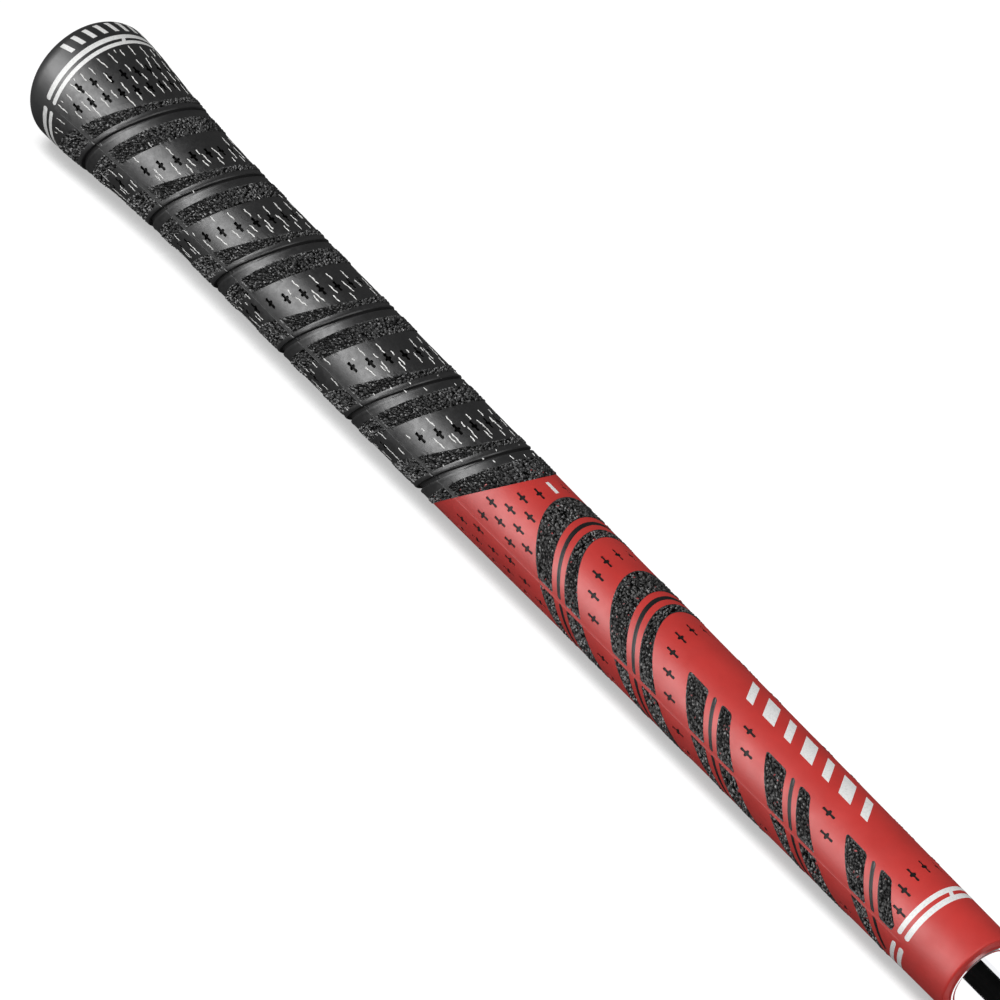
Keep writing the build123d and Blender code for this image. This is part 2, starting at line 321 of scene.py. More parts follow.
def decal(builder, outline, x, angle, top, bottom, depths=(0.0, 0.0)):
    """A closed plate with an outline in mm about (x, angle), from bottom to top over the surface."""
    outline = np.asarray(outline, float)
    r = float(radius(x))
    xs = x + outline[:, 0]
    angles = angle - degrees_of(outline[:, 1], r)
    n = len(outline)
    upper, lower = place(xs, angles, top), place(xs, angles, bottom)
    middle_up, middle_low = place([x], [angle], top), place([x], [angle], bottom)
    points = np.concatenate([upper, lower, middle_up, middle_low])
    faces = []
    for i in range(n):
        j = (i + 1) % n
        faces += [[2 * n, i, j], [2 * n + 1, j + n, i + n], [i, i + n, j + n, j]]
    builder.add(points, faces, [*[depths[0]] * n, *[depths[1]] * n, *depths])


def cross_outline(length=1.55, thick=0.19, tie=0.62, half_tie=0.26):
    """Outline of a cross mark, counterclockwise: a thin bar with swollen ends, and a short tie across it."""
    end = thick + 0.05
    arm = [(length, end * 0.5), (length - 0.12, end), (length - 0.55, end), (0.75, thick)]
    arm += [(0.42, thick + 0.02), (half_tie + 0.06, thick + 0.14), (half_tie, tie - 0.1)]
    arm += [(half_tie * 0.5, tie)]
    upper = arm + [(-x, y) for x, y in reversed(arm)]
    return np.array(upper + [(-x, -y) for x, y in upper])


def mirrored(places):
    """The places, and the same ones on the other side of the front centre line."""
    return places + [(x, -angle) for x, angle in places if angle > 0.5]


def row_of_marks(tilted, shift, first, last, spacing=MARK_SPACING):
    """Marks along a tilted line, evenly spaced, on the front and mirrored about the side on the back."""
    r = float(radius(tilted[0] + shift))
    step = degrees_of(spacing, r)
    places = []
    for index in range(int(last / step) + 1):
        angle = index * step
        if angle >= first:
            places.append((edge(tilted, angle, shift), angle))
            places.append((edge(tilted, 180 - angle, shift), 180 - angle))
    return mirrored(places)


def black_marks():
    """Cross marks of the black rubber: two rows beside the cap, and one row in each section."""
    places = []
    for line, last in (((9.0, 9.7), 62), ((13.2, 10.4), 82)):
        places += row_of_marks(line, 0, 0, last, 2.9)
    for section in range(1, GROOVES):
        places += row_of_marks(MARK_LINE, GROOVE_PITCH * (section - 1), 0, 82)
    return [(x, angle) for x, angle in places if x > CAP_LENGTH + 2.2]


def column_of_marks(angle, start, pitch, after_joint):
    """Marks down the red rubber at one angle, between the joint and the first inlay."""
    low, high = edge(JOINT, angle) + after_joint, edge(WIDE[0], angle) - 2.3
    return [(start + pitch * k, angle) for k in range(-3, 4) if low < start + pitch * k < high]


def red_marks():
    """Cross marks of the red rubber: staggered columns after the joint, and rows between the inlays."""
    places = [(150.9, 18.7)]
    for column in range(4, 10):
        places += column_of_marks(0.7 + 8.85 * column, 153.8 if column % 2 else 149.7, 8.0, 3.1)
    for column in range(10):
        places += column_of_marks(98.0 + 8.3 * column, 150.75 if column % 2 else 146.1, 9.3, 2.8)
    places = mirrored(places)
    for index in range(SETS - 1):
        first = 30 if index > 1 else 0
        places += row_of_marks((179.9, -9.8), SET_PITCH * index, first, 79, 3.05)
    return places + on_side(row_of_marks((261.3, -6.9), 0, 0, 66, 3.05), True)


def on_side(places, front):
    """The places that lie on the front half, or those on the back half."""
    return [p for p in places if (abs(p[1]) < 90) == front]


def fleck_places():
    """Cord flecks as (x, angle, length): a loose, staggered weave over the black rubber's smooth panels."""
    places = []

    def scatter(x, angle, length, chance):
        """Lays a cord near a place, or none."""
        if RNG.random() < chance:
            moved = (x + RNG.normal(0, 0.3), angle + RNG.normal(0, 0.7))
            places.append((*moved, length * RNG.uniform(0.65, 1.2)))

    for row in range(-17, 18):
        for column, x in enumerate((12.9, 16.9, 20.6, 24.3)):
            angle = row * 10.6 + (5.3 if column % 2 else 0)
            if x < edge(LEFT_BAND[0], angle) - 1.2:
                scatter(x, angle, 3.0, 0.95)
        scatter(11.5, row * 10.6 + 5.3, 1.0, 0.75)
    for section in range(1, GROOVES):
        shift = GROOVE_PITCH * (section - 1)
        step = degrees_of(MARK_SPACING, float(radius(36 + shift)))
        late = section >= 4
        for row in range(-int(180 / step), int(180 / step) + 1):
            angle = row * step
            bare = smooth(50, 66, abs(angle)) * (abs(angle) < 90)
            back = abs(angle) > 90
            line = edge(MARK_LINE, angle, shift)
            rows = [(1.0, 0.42, 4.2 if back else 3.4, 0.95 - 0.5 * bare),
                    (-3.0, -0.12, 2.6, 0.9 - 0.5 * bare),
                    (3.2, -0.3, 2.3, 0.85 - 0.5 * bare),
                    (-0.4, -0.45, 1.4, 0.7 if late else 0.4 - 0.2 * bare),
                    (7.4, 0.2, 1.0, 0.6 if late else 0.06),
                    (10.2, -0.3, 1.1, 0.6 if late else 0.04),
                    (-6.3, 0.5, 1.2, 0.3 if late else 0.05)]
            for beyond, steps, length, chance in rows:
                scatter(line + beyond, angle + steps * step, length, chance)
    inside = []
    for x, angle, length in places:
        turn = (angle + 180) % 360 - 180
        if CAP_LENGTH + 0.4 + length / 2 < x < edge(JOINT, turn) - 2 and abs(abs(turn) - 90) > 2:
            inside.append((x, turn, length))
    return inside


def fleck(builder, x, angle, length):
    """One exposed cord: a short twisted strand, lying half sunk in the surface."""
    rings = max(5, int(length / 0.16))
    sides = 6
    r = float(radius(x))
    along = np.linspace(-0.5, 0.5, rings)
    phase = RNG.uniform(0, 2 * pi)
    lean = RNG.normal(0, 0.05)
    wander = 0.05 * np.sin(along * length * 3.4 + phase) + lean * along * length
    bead = 0.5 + 0.5 * np.abs(np.sin(along * length * 2.4 + phase * 0.7))
    thick = 0.13 * bead * np.sqrt(np.clip(1 - (2 * along) ** 8, 0.02, 1))
    turn = np.linspace(0, 2 * pi, sides, endpoint=False)
    xs = x + (along * length)[:, None] + 0 * turn
    across = wander[:, None] + thick[:, None] * np.cos(turn)
    up = 0.55 * thick[:, None] * np.sin(turn)
    points = place(xs, angle - degrees_of(across, r), up)
    index = np.arange(rings * sides).reshape(rings, sides)
    faces = []
    for i in range(rings - 1):
        for j in range(sides):
            k = (j + 1) % sides
            faces.append([index[i, j], index[i, k], index[i + 1, k], index[i + 1, j]])
    faces.append([*index[0, ::-1]])
    faces.append([*index[-1]])
    builder.add(points, faces, 0, RNG.random())


# --- Sleeve halves ----------------------------------------


def half_angles(front, step):
    """Angles across the front or the back half, evenly spaced but closer beside the parting line."""
    middle = 0 if front else 180
    count = int(round(177 / step)) + 1
    beside = [90.0, 89.75, 89.45, 89.1]
    even = np.linspace(88.5, -88.5, count)
    return middle + np.concatenate([beside, even, [-a for a in reversed(beside)]])


def from_front(angle):
    """How far round from the front centre line an angle lies, 0 to 180 degrees."""
    return np.abs((angle + 180) % 360 - 180)


def seam_line(angle, flash=0.02):
    """Height of the thin flash beside the parting line on the front half, and of the fine line in it."""
    turn = from_front(angle)
    ridge = flash * np.exp(-(((turn - 89.2) / 0.3) ** 2)) * (turn < 90)
    return ridge - flash * smooth(0.3, 0.0, np.abs(turn - 90))


def column_stations():
    """Columns of the black sleeve as functions of the angle, with the kind of surface each lies on."""
    zones = []
    last = (CAP_LENGTH, 0.0)
    for index in range(GROOVES):
        shift = GROOVE_PITCH * index
        left = [(e[0] + shift, e[1]) for e in LEFT_BAND]
        right = [(e[0] + shift, e[1]) for e in RIGHT_BAND]
        groove = (GROOVE[0] + shift, GROOVE[1])
        zones.append((last, left[0], "smooth", 9))
        zones.append((left[0], left[1], "pebble", int(4.0 / FINE)))
        rims = [(groove[0], groove[1], distance) for distance, _ in GROOVE_SECTION]
        zones.append((left[1], rims[0], "smooth", 2))
        for section in range(len(rims) - 1):
            zones.append((rims[section], rims[section + 1], section, 1))
        zones.append((rims[-1], right[0], "smooth", 3))
        end = JOINT if index == GROOVES - 1 else right[1]
        zones.append((right[0], end, "pebble", int(4.4 / FINE)))
        last = end
    return zones


def closed_half(builder, x, angle, out, inner, relief=0.0, tint=0.0):
    """A closed half sleeve: an outer grid, a plain bore between its two ends, and flat sides."""
    ends = zip((0, -1), inner)
    bores = [around(x[:, column], r, np.radians(angle[:, column])) for column, r in ends]
    builder.add_grid(place(x, angle, out), bores, relief, tint)


def bore_radius(x):
    """Radius of the sleeve's bore, which narrows round the tape to the tape's end."""
    tape_end, tape_end_radius = GRIP_LENGTH - 3, 6.75
    return BORE_BUTT + (tape_end_radius - BORE_BUTT) * x / tape_end


def black_half(front):
    """The corded black rubber of one side: smooth panels, pebbled bands and grooves in one surface."""
    middle_radius = 12.4
    angle_row = half_angles(front, degrees_of(FINE, middle_radius))
    xs, outs, kinds = [], [], []
    heights = [height for _, height in GROOVE_SECTION]
    for start, end, kind, count in column_stations():
        low = np.maximum(edge(start, angle_row), CAP_LENGTH)
        high = np.maximum(edge(end, angle_row), CAP_LENGTH + 0.15)
        steps = np.arange(count) / count
        for s in steps:
            xs.append(low + (high - low) * s)
            if kind == "pebble":
                width = high - low
                rim = np.minimum(s * width, (1 - s) * width)
                kinds.append(smooth(0.0, 0.22, rim) + 1e-6)
                outs.append(0 * low)
            else:
                kinds.append(0 * low)
                outs.append(0 * low + (heights[kind] if isinstance(kind, int) else 0.0))
    xs.append(edge(JOINT, angle_row))
    outs.append(0 * angle_row)
    kinds.append(0 * angle_row)
    x = np.stack(xs, 1)
    for column in range(1, x.shape[1]):
        x[:, column] = np.maximum(x[:, column], x[:, column - 1] + 0.004)
    out, share = np.stack(outs, 1), np.stack(kinds, 1)
    angle = np.broadcast_to(angle_row[:, None], x.shape)
    fade = share * seam_fade(angle)
    relief = np.zeros(x.shape)
    tint = np.zeros(x.shape)
    grainy = fade > 0
    grain, chance = pebble(place(x[grainy], angle[grainy]), 3.0)
    relief[grainy] = (GRAIN_LOW + (GRAIN_HIGH - GRAIN_LOW) * grain) * fade[grainy]
    to_joint = edge(JOINT, angle[grainy]) - x[grainy]
    near_joint = smooth(3.4, 1.2, to_joint) * (0.35 + 0.65 * np.cos(np.radians(angle[grainy])) ** 2)
    tint[grainy] = grain * (chance < 0.3 * near_joint)
    builder = Builder()
    inner = (bore_radius(CAP_LENGTH), bore_radius(JOINT[0]))
    surface = out * seam_depth(angle) + relief + seam_line(angle)
    # The relief also drives the material's painted highlight and painted shade.
    closed_half(builder, x, angle, surface, inner, relief / GRAIN_HIGH, tint)
    return builder.mesh("black_half")


def seam_depth(angle):
    """Depth of the grooves near the parting line, where the front ones run out and the back ones begin."""
    return 1 - 0.75 * np.exp(-(((from_front(angle) - 89.5) / 0.9) ** 2))


def degrees_of(length, r):
    """The angle that a length covers round a radius."""
    return length / r * 180 / pi


def red_half(front):
    """The red rubber of one side, with the rounded rim of the mouth."""
    angle_row = half_angles(front, 0.75)
    start = edge(JOINT, angle_row)
    end = GRIP_LENGTH - RIM_ROUNDING
    columns = 110
    share = np.linspace(0, 1, columns)
    x = start[:, None] + (end - start)[:, None] * share
    out = np.zeros_like(x)
    turns = np.radians(np.linspace(0, 90, 6)[1:])
    rim_x = end + RIM_ROUNDING * np.sin(turns)
    rim_out = -RIM_ROUNDING * (1 - np.cos(turns))
    rim = (len(start), len(turns))
    x = np.concatenate([x, np.broadcast_to(rim_x, rim)], 1)
    out = np.concatenate([out, np.broadcast_to(rim_out, rim)], 1)
    angle = np.broadcast_to(angle_row[:, None], x.shape)
    builder = Builder()
    seam = seam_line(angle, 0.03) * smooth(MOUTH_RINGS[1][1], MOUTH_RINGS[0][0], x)
    closed_half(builder, x, angle, out + seam, (bore_radius(JOINT[0]), BORE_MOUTH))
    return builder.mesh("red_half")


# --- Inlays -----------------------------------------------


def fixed(angle):
    """An angle as a function of x that doesn't change along the grip."""
    return lambda x: angle + 0 * x


def fin_top(x):
    """The angle at which a fin begins beside the open strip along the front."""
    return np.degrees(np.arcsin(FIN_OPENING / radius(x)))


def inlay_spans(band, index, front):
    """Angle ranges that a band of one set covers on one side, as (start, end) functions of x."""
    if front and index in FIN_SETS:
        return [(fin_top, fixed(PARTING_FRONT)), (fixed(-PARTING_FRONT), lambda x: -fin_top(x))]
    if front:
        return [(fixed(-PARTING_FRONT), fixed(PARTING_FRONT))]
    stop = clear_angle(band, SET_PITCH * index)
    if stop == 180:
        return [(fixed(PARTING_BACK), fixed(360 - PARTING_BACK))]
    if stop < PARTING_BACK + 4:
        return []
    return [(fixed(PARTING_BACK), fixed(stop)), (fixed(360 - stop), fixed(360 - PARTING_BACK))]


def clear_angle(band, shift):
    """The angle up to which a back band stays clear of the inlays' limit: 180 where all of it does."""
    angles = np.linspace(PARTING_BACK, 180, 200)
    free = edge(band[0], angles, shift) < INLAY_LIMIT - 0.5
    return angles[free][-1] if free.any() else 0


def corner_inset(distance, corner):
    """How far a band's edge draws in beside an end with rounded corners."""
    reach = np.clip(corner - distance, 0, corner)
    return corner - np.sqrt(corner**2 - reach**2)


def band_grid(band, shift, span, step_angle, step_x, margin=0.0):
    """Grid of x and angle over a tilted band between two angles, stopped at the inlays' limit."""
    first, last = span
    middle = (band[0][0] + band[1][0]) / 2 + shift
    sweep = float(last(middle) - first(middle))
    rows = max(6, int(abs(sweep) / step_angle))
    cols = max(4, int((band[1][0] - band[0][0] + 1.0) / step_x))
    t = np.linspace(1, 0, rows)[:, None]
    s = np.linspace(0, 1, cols)[None, :]
    angle = first(middle) + (last(middle) - first(middle)) * t + 0 * s
    round_length = np.radians(abs(sweep)) * float(radius(middle))
    half_width = (band[1][0] - band[0][0]) / 2
    inset = 0
    for end, distance in ((first, t * round_length), (last, (1 - t) * round_length)):
        at_seam = min(abs(from_front(end(middle)) - seam) for seam in (PARTING_FRONT, PARTING_BACK)) < 0.01
        inset = inset + corner_inset(distance, min(SEAM_CORNER if at_seam else FIN_CORNER, half_width * 0.9))
    for _ in range(4):
        low = edge(band[0], angle, shift) + margin
        high = np.minimum(edge(band[1], angle, shift), INLAY_LIMIT) - margin
        room = (high - low) / 2 - 0.05
        x = low + np.minimum(inset, room) + (high - low - 2 * np.minimum(inset, room)) * s
        angle = first(x) + (last(x) - first(x)) * t
    keep = (high - low).min(axis=1) > 0.35
    if not keep.all():
        x, angle = longest_run(x, keep), longest_run(angle, keep)
    return x, angle


def longest_run(values, keep):
    """The rows of the first unbroken run of kept rows."""
    rows = np.flatnonzero(keep)
    breaks = np.flatnonzero(np.diff(rows) > 1)
    end = rows[breaks[0]] if len(breaks) else rows[-1]
    return values[rows[0]:end + 1]


def pebbled_inlays(band, front, seed, skip_last_back=False):
    """The pebbled inlays of one kind on one side, as closed blocks let into the red rubber."""
    solid, cutter = Builder(), Builder()
    for index in range(SETS):
        if skip_last_back and not front and index == SETS - 1:
            continue
        shift = SET_PITCH * index
        for span in inlay_spans(band, index, front):
            x, angle = band_grid(band, shift, span, degrees_of(FINE, INLAY_RADIUS), FINE)
            grain, chance = pebble(place(x, angle), seed + index)
            rim_x = np.minimum(x - x[:, :1], x[:, -1:] - x)
            along = np.abs(np.radians(angle - angle[:1])) * INLAY_RADIUS
            rim_angle = np.minimum(along, along[-1:] - along)
            fade = smooth(-0.02, 0.28, np.minimum(rim_x, rim_angle))
            relief = (GRAIN_LOW + (INLAY_HIGH - GRAIN_LOW) * grain) * fade + 0.02
            # The grain's height in the black bands' range, which the material turns into painted highlight
            # and painted shade
            grain_shading_height = (GRAIN_LOW + (GRAIN_HIGH - GRAIN_LOW) * grain) * fade / GRAIN_HIGH
            solid.block(place(x, angle, relief), INLAY_FLOOR, (x, angle), grain_shading_height, chance * grain)
            x, angle = band_grid(band, shift, span, degrees_of(FINE, INLAY_RADIUS), 1.5, margin=0.02)
            cutter.block(place(x, angle, CUTTER_TOP), POCKET_FLOOR, (x, angle))
    return solid.mesh("inlays"), cutter


def rib_inlays(front):
    """The thin ribs between the pebbled inlays: a smooth, slightly hollow strip."""
    solid, cutter = Builder(), Builder()
    step = degrees_of(0.2, INLAY_RADIUS)
    for index in range(SETS):
        shift = SET_PITCH * index
        for span in inlay_spans(RIB, index, front):
            x, angle = band_grid(RIB, shift, span, step, 0.14)
            s = np.linspace(-1, 1, x.shape[1])[None, :]
            out = 0.05 - 0.22 * np.exp(-((s / 0.42) ** 2)) - 0.06 * s**4
            ends = np.minimum(np.arange(len(x)), np.arange(len(x))[::-1])[:, None]
            taper = smooth(-0.5, 6, ends)
            solid.block(place(x, angle, out * taper), INLAY_FLOOR, (x, angle), out * taper / GRAIN_HIGH)
            x, angle = band_grid(RIB, shift, span, step, 0.5, margin=0.02)
            cutter.block(place(x, angle, CUTTER_TOP), POCKET_FLOOR, (x, angle))
    return solid.mesh("ribs"), cutter


# --- Plain pieces -----------------------------------------


def lathe(profile, segments=256):
    """A closed ring round the X axis, from a closed profile of (x, r)."""
    builder = Builder()
    profile = np.array(profile, float)
    turn = np.linspace(0, 2 * pi, segments, endpoint=False)[:, None]
    index = np.arange(segments * len(profile)).reshape(segments, -1)
    index = np.vstack([index, index[:1]])
    index = np.hstack([index, index[:, :1]])
    builder.add(around(profile[:, 0], profile[:, 1], turn), quads(index[::-1]))
    return builder


def arc(centre, r, start, end, steps):
    """Points of an arc in a profile, between two angles in degrees."""
    turns = np.radians(np.linspace(start, end, steps))
    return [(centre[0] + r * cos(t), centre[1] + r * sin(t)) for t in turns]


def cap_mesh():
    """The butt cap, from the vent hole over the rounded corner to the sleeve, and its spigot inside."""
    vent_rounding = 0.25
    profile = [(vent_rounding, VENT_RADIUS), (0.0, VENT_RADIUS + vent_rounding)]
    profile += [(0.0, r) for r in (4.5, 7.0)]
    profile += arc((CAP_CORNER, CAP_RADIUS - CAP_CORNER), CAP_CORNER, 180, 90, 24)
    profile += [(x, float(radius(x))) for x in np.linspace(CAP_CORNER, CAP_LENGTH, 9)[1:]]
    profile += [(CAP_LENGTH, SPIGOT_RADIUS), (SPIGOT_END, SPIGOT_RADIUS), (SPIGOT_END, BORE_BUTT)]
    profile += [(END_WALL, BORE_BUTT), (END_WALL, VENT_RADIUS)]
    return lathe(profile).mesh("cap")


def shaft_mesh():
    """The shaft's butt end: a tapered tube in the sleeve, then the bright parallel stub."""
    step, step_run, chamfer = GRIP_LENGTH + STEP_BEYOND_MOUTH, 0.1, 0.15
    bore = STUB_RADIUS - SHAFT_WALL
    profile = [(SHAFT_START, BUTT_RADIUS), (GRIP_LENGTH, NECK_RADIUS), (step, NECK_RADIUS)]
    profile += [(step + step_run, STUB_RADIUS), (SHAFT_END - chamfer, STUB_RADIUS)]
    profile += [(SHAFT_END, STUB_RADIUS - chamfer), (SHAFT_END, bore), (step, bore)]
    profile += [(GRIP_LENGTH, NECK_RADIUS - SHAFT_WALL), (SHAFT_START, BUTT_RADIUS - SHAFT_WALL)]
    return lathe(profile, 192).mesh("shaft")


def strip(builder, x_range, angle_range, lean=0.0, rows=None, cols=6, round_ends=True):
    """A closed band of paint between two distances and two angles, leaning by some degrees per mm."""
    top = 0.03
    length = abs(angle_range[1] - angle_range[0])
    rows = rows or max(5, int(length / 1.2))
    t = np.linspace(1, 0, rows)[:, None]
    s = np.linspace(0, 1, cols)[None, :]
    middle, half = (x_range[0] + x_range[1]) / 2, (x_range[1] - x_range[0]) / 2
    if round_ends:
        near = np.linspace(0, 0.5, 9)[:, None] * degrees_of(half * 2, float(radius(middle))) / length
        t = np.concatenate([1 - near, t[(t[:, 0] < 1 - near[-1]) & (t[:, 0] > near[-1])], near[::-1]])
    round_length = np.radians(length) * float(radius(middle))
    inset = corner_inset(np.minimum(t, 1 - t) * round_length, half * 0.85) if round_ends else 0 * t
    x = middle + (half - inset) * (2 * s - 1)
    angle = angle_range[0] + length * t + lean * (x - middle)
    rim = np.ones_like(s)
    rim[:, 0] = rim[:, -1] = 0.2
    builder.block(place(x, angle, top * rim), PAINT_FLOOR, (x, angle))


def paint_rings(rings, ends, tie, front):
    """The two white rings near an end of the grip, on one side, with the tie across them at the front."""
    builder = Builder()
    for span in rings:
        if front:
            strip(builder, span, (-ends[0], ends[0]))
        else:
            strip(builder, span, (ends[1], 360 - ends[1]))
    if front:
        gap = (rings[0][1] - 0.05, rings[1][0] + 0.05)
        lean = tie / 2 / (gap[1] - gap[0])
        strip(builder, gap, (-tie / 2, tie / 2), lean, rows=6, round_ends=False)
    return builder.mesh("rings")


def bar(builder, x, angle, length, width, lean, along_axis):
    """One slanted bar of paint about (x, angle): along the grip, or across it when along_axis is False."""
    top = 0.035
    t = np.linspace(0.5, -0.5, 15)[:, None]
    s = np.linspace(-0.5, 0.5, 15)[None, :]
    if along_axis:
        xs = x + length * s + 0 * t
        across = -width * t + lean * s
    else:
        across = -length * t + 0 * s
        xs = x + width * s - 2 * lean * t
    r = radius(xs)
    angles = angle - np.degrees(across / r)
    builder.block(place(xs, angles, top), PAINT_FLOOR, (xs, angles))


def cap_bars():
    """Nine generic slanted bars round the cap."""
    builder = Builder()
    count, x, turn = 9, 4.9, 11.0
    for index in range(count):
        angle = turn * (index - count // 2)
        bar(builder, x, angle, length=3.2, width=1.0, lean=0.8, along_axis=True)
    return builder.mesh("cap_bars")


def front_bars():
    """Seven generic slanted bars, wide and narrow in turn, along the red front."""
    builder = Builder()
    count, start, whole_length = 7, 206.0, 36.0
    pitch = whole_length / count
    for index in range(count):
        width = pitch * (0.62 if index % 2 else 0.36)
        x = start + pitch * (index + 0.5)
        bar(builder, x, 0, length=4.6, width=width, lean=-1.6, along_axis=False)
    return builder.mesh("front_bars")


# --- Materials --------------------------------------------


class Material:
    """A procedural material: a principled shader, with helpers that add and join nodes."""

    def __init__(self, name, roughness, metallic=0.0, specular=0.5):
        self.name = name
        self.material = bpy.data.materials.new(name)
        self.material.use_nodes = True
        self.tree = self.material.node_tree
        self.shader = self.tree.nodes["Principled BSDF"]
        self.shader.inputs["Roughness"].default_value = roughness
        self.shader.inputs["Metallic"].default_value = metallic
        self.shader.inputs["Specular IOR Level"].default_value = specular
        self.place = self.node("ShaderNodeTexCoord").outputs["Object"]

    def node(self, kind, **settings):
        made = self.tree.nodes.new(kind)
        for key, value in settings.items():
            setattr(made, key, value)
        return made

    def link(self, output, target):
        self.tree.links.new(output, target)

    def noise(self, cell, detail=4.0, roughness=0.55, stretch=None):
        """Noise with features of about cell millimetres."""
        made = self.node("ShaderNodeTexNoise")
        made.inputs["Scale"].default_value = 1 / (cell * MM)
        made.inputs["Detail"].default_value = detail
        made.inputs["Roughness"].default_value = roughness
        source = self.place
        if stretch:
            mapping = self.node("ShaderNodeMapping")
            mapping.inputs["Scale"].default_value = stretch
            self.link(source, mapping.inputs["Vector"])
            source = mapping.outputs["Vector"]
        self.link(source, made.inputs["Vector"])
        return made.outputs["Fac"]

    def ramp(self, source, stops):
        made = self.node("ShaderNodeValToRGB")
        elements = made.color_ramp.elements
        while len(elements) < len(stops):
            elements.new(0.5)
        for element, (position, colour) in zip(elements, stops):
            element.position = position
            element.color = (*colour, 1) if isinstance(colour, tuple) else (colour, colour, colour, 1)
        self.link(source, made.inputs["Fac"])
        return made.outputs["Color"]

    def mix(self, factor, first, second, blend="MIX"):
        made = self.node("ShaderNodeMix", data_type="RGBA", blend_type=blend)
        for name, value in (("Factor", factor), ("A", first), ("B", second)):
            kind = "VALUE" if name == "Factor" else "RGBA"
            socket = next(i for i in made.inputs if i.name == name and i.type == kind)
            if isinstance(value, bpy.types.NodeSocket):
                self.link(value, socket)
            else:
                socket.default_value = value if name == "Factor" else (*value, 1)
        return [o for o in made.outputs if o.type == "RGBA"][0]

    def attribute(self, name):
        return self.node("ShaderNodeAttribute", attribute_name=name).outputs["Fac"]

    def colour(self, output):
        self.link(output, self.shader.inputs["Base Color"])

    def map_range(self, source, span, result, target):
        """Links a value to an input of the shader, mapped from one range to another."""
        made = self.node("ShaderNodeMapRange")
        for name, value in zip(("From Min", "From Max", "To Min", "To Max"), (*span, *result)):
            made.inputs[name].default_value = value
        self.link(source, made.inputs["Value"])
        self.link(made.outputs["Result"], self.shader.inputs[target])

    def rough(self, source, low, high):
        self.map_range(source, (0.3, 0.7), (low, high), "Roughness")

    def bump(self, source, height_mm):
        made = self.node("ShaderNodeBump")
        made.inputs["Distance"].default_value = height_mm * MM
        self.link(source, made.inputs["Height"])
        if self.shader.inputs["Normal"].is_linked:
            self.link(self.shader.inputs["Normal"].links[0].from_socket, made.inputs["Normal"])
        self.link(made.outputs["Normal"], self.shader.inputs["Normal"])


def rubber(name, dark, light, roughness, specular=0.5):
    """Moulded rubber: faint mottling, a satin skin duller in patches, and a fine mould texture."""
    made = Material(name, roughness, specular=specular)
    fine_bump = 0.012
    mottle = made.noise(9, 5)
    made.colour(made.ramp(mottle, [(0.32, dark), (0.68, light)]))
    made.rough(made.noise(4, 6), roughness - 0.05, roughness + 0.07)
    made.bump(made.noise(0.22, 3, 0.6), fine_bump)
    made.bump(made.noise(1.6, 4), fine_bump * 1.6)
    return made


def pebbled_rubber(name, base, top, hollow_shade, red_tips, roughness):
    """Rubber with a painted highlight on its raised grain and painted shade in its hollows. Some grains show
    red.
    """
    made = Material(name, roughness)
    relief = made.attribute("relief")
    height_for_painted_light = made.node("ShaderNodeMath", operation="MULTIPLY_ADD")
    height_for_painted_light.inputs[1].default_value = 0.5
    height_for_painted_light.inputs[2].default_value = 0.5
    made.link(relief, height_for_painted_light.inputs[0])
    # Painted light from the grain's height: painted shade in the hollows, painted highlight on the raised
    # grain
    shade = made.ramp(height_for_painted_light.outputs[0], [(0.02, hollow_shade), (0.32, base), (0.78, base), (1.0, top)])
    mottle = made.ramp(made.noise(0.5, 5), [(0.35, 0.72), (0.65, 1.0)])
    shade = made.mix(1.0, shade, mottle, "MULTIPLY")
    tips = made.ramp(made.attribute("tint"), [(1 - red_tips, 0.0), (1 - red_tips + 0.05, 1.0)])
    shade = made.mix(tips, shade, (0.32, 0.018, 0.02))
    made.colour(shade)
    made.rough(made.noise(1.2, 5), roughness - 0.06, roughness + 0.08)
    made.map_range(relief, (-1.0, -0.3), (0.03, 0.5), "Specular IOR Level")
    made.bump(made.noise(0.16, 3), 0.02)
    return made


def paint():
    """White paint filled into the rubber, a little chalky, with faint pinholes and dirt."""
    made = Material("white_paint", 0.5)
    chalk = made.ramp(made.noise(0.35, 6), [(0.3, (0.72, 0.72, 0.71)), (0.55, (0.86, 0.86, 0.85))])
    made.colour(chalk)
    made.rough(made.noise(0.5, 4), 0.42, 0.6)
    made.bump(made.noise(0.25, 5), 0.02)
    return made


def cord():
    """Undyed cotton cord: off-white and fibrous, some strands a little greyer than others."""
    made = Material("cotton_cord", 0.85, specular=0.2)
    fibre = made.noise(0.12, 4, 0.6, stretch=(0.25, 1, 1))
    strand = made.ramp(fibre, [(0.3, (0.66, 0.66, 0.65)), (0.5, (0.95, 0.95, 0.93))])
    shade = made.ramp(made.attribute("tint"), [(0.0, 0.78), (0.4, 1.0)])
    made.colour(made.mix(1.0, strand, shade, "MULTIPLY"))
    made.rough(made.noise(0.2, 3), 0.78, 0.92)
    made.bump(fibre, 0.05)
    return made


def chrome():
    """Plated steel: bright, with faint drawn lines round it and a thin haze of handling."""
    made = Material("chrome_steel", 0.07, metallic=1.0)
    lines = made.noise(0.3, 4, 0.6, stretch=(1.0, 0.03, 0.03))
    haze = made.noise(5, 5)
    made.colour(made.ramp(haze, [(0.3, (0.80, 0.81, 0.83)), (0.7, (0.88, 0.88, 0.89))]))
    made.rough(haze, 0.05, 0.11)
    made.bump(lines, 0.002)
    return made


def tape():
    """Buff crepe tape."""
    made = Material("tape", 0.9)
    weave = made.noise(0.4, 5, 0.6, stretch=(1, 0.3, 0.3))
    made.colour(made.ramp(weave, [(0.35, (0.5, 0.43, 0.31)), (0.65, (0.66, 0.6, 0.46))]))
    made.rough(weave, 0.8, 0.95)
    made.bump(weave, 0.04)
    return made


# --- The grip ---------------------------------------------

